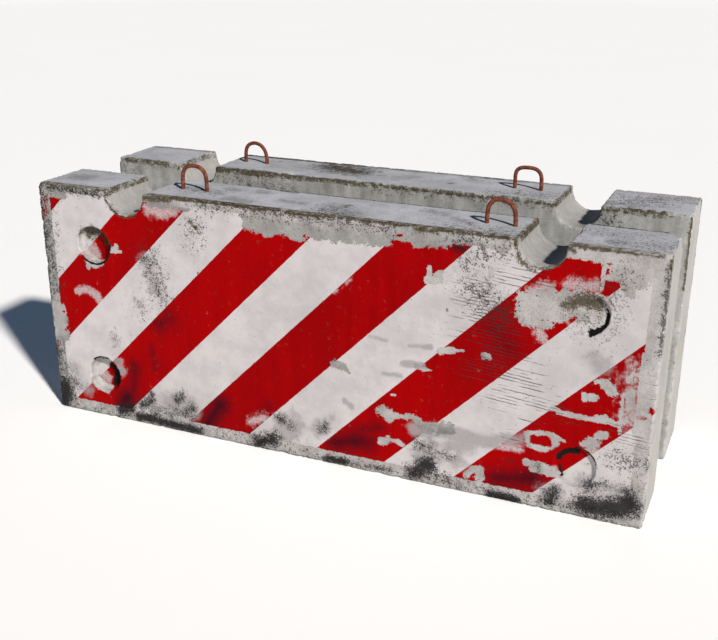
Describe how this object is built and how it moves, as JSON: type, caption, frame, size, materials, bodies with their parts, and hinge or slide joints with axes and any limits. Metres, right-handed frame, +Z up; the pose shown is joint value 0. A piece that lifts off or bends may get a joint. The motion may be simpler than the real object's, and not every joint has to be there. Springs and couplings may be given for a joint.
{
  "type": "concrete barrier slab pair",
  "caption": "Pair of free-standing precast concrete road barrier slabs with diagonal red and white stripes, round-bottomed saddles and steel lifting loops.",
  "frame": {"origin": "on the ground under the middle of the pair of slabs", "axes": "+X along the slabs, to the right as the front slab's stripes are seen; +Y from the front slab to the rear slab, so the front slab's stripes face -Y; +Z up"},
  "size_m": [2.5, 0.8512, 1.102],
  "materials": {
    "cast_concrete": "rough weathered cast concrete",
    "white_paint": "worn matt road paint",
    "red_paint": "worn matt road paint",
    "loop_steel": "rusted smooth round bar",
    "cage_steel": "mill scale and light rust",
    "spacer_plastic": "moulded plastic"
  },
  "bodies": {
    "front_slab": {"front_concrete_slab": "cast_concrete", "front_white_paint": "white_paint", "front_red_paint": "red_paint", "front_lifting_loop_left": "loop_steel", "front_lifting_loop_right": "loop_steel", "front_full_height_links": "cage_steel", "front_saddle_links": "cage_steel", "front_bottom_bars": "cage_steel", "front_under_saddle_bars": "cage_steel", "front_top_bars": "cage_steel", "front_striped_side_bars": "cage_steel", "front_plain_side_bars": "cage_steel", "front_end_hairpins": "cage_steel", "front_cover_spacers": "spacer_plastic"},
    "rear_slab": {"rear_concrete_slab": "cast_concrete", "rear_white_paint": "white_paint", "rear_red_paint": "red_paint", "rear_lifting_loop_left": "loop_steel", "rear_lifting_loop_right": "loop_steel", "rear_full_height_links": "cage_steel", "rear_saddle_links": "cage_steel", "rear_bottom_bars": "cage_steel", "rear_under_saddle_bars": "cage_steel", "rear_top_bars": "cage_steel", "rear_striped_side_bars": "cage_steel", "rear_plain_side_bars": "cage_steel", "rear_end_hairpins": "cage_steel", "rear_cover_spacers": "spacer_plastic"}
  },
  "joints": [
    {"name": "rear_slab_lift", "type": "slide", "parent": "front_slab", "child": "rear_slab", "axis": [0, 0, 1], "range_m": [0, 1.2]}
  ]
}
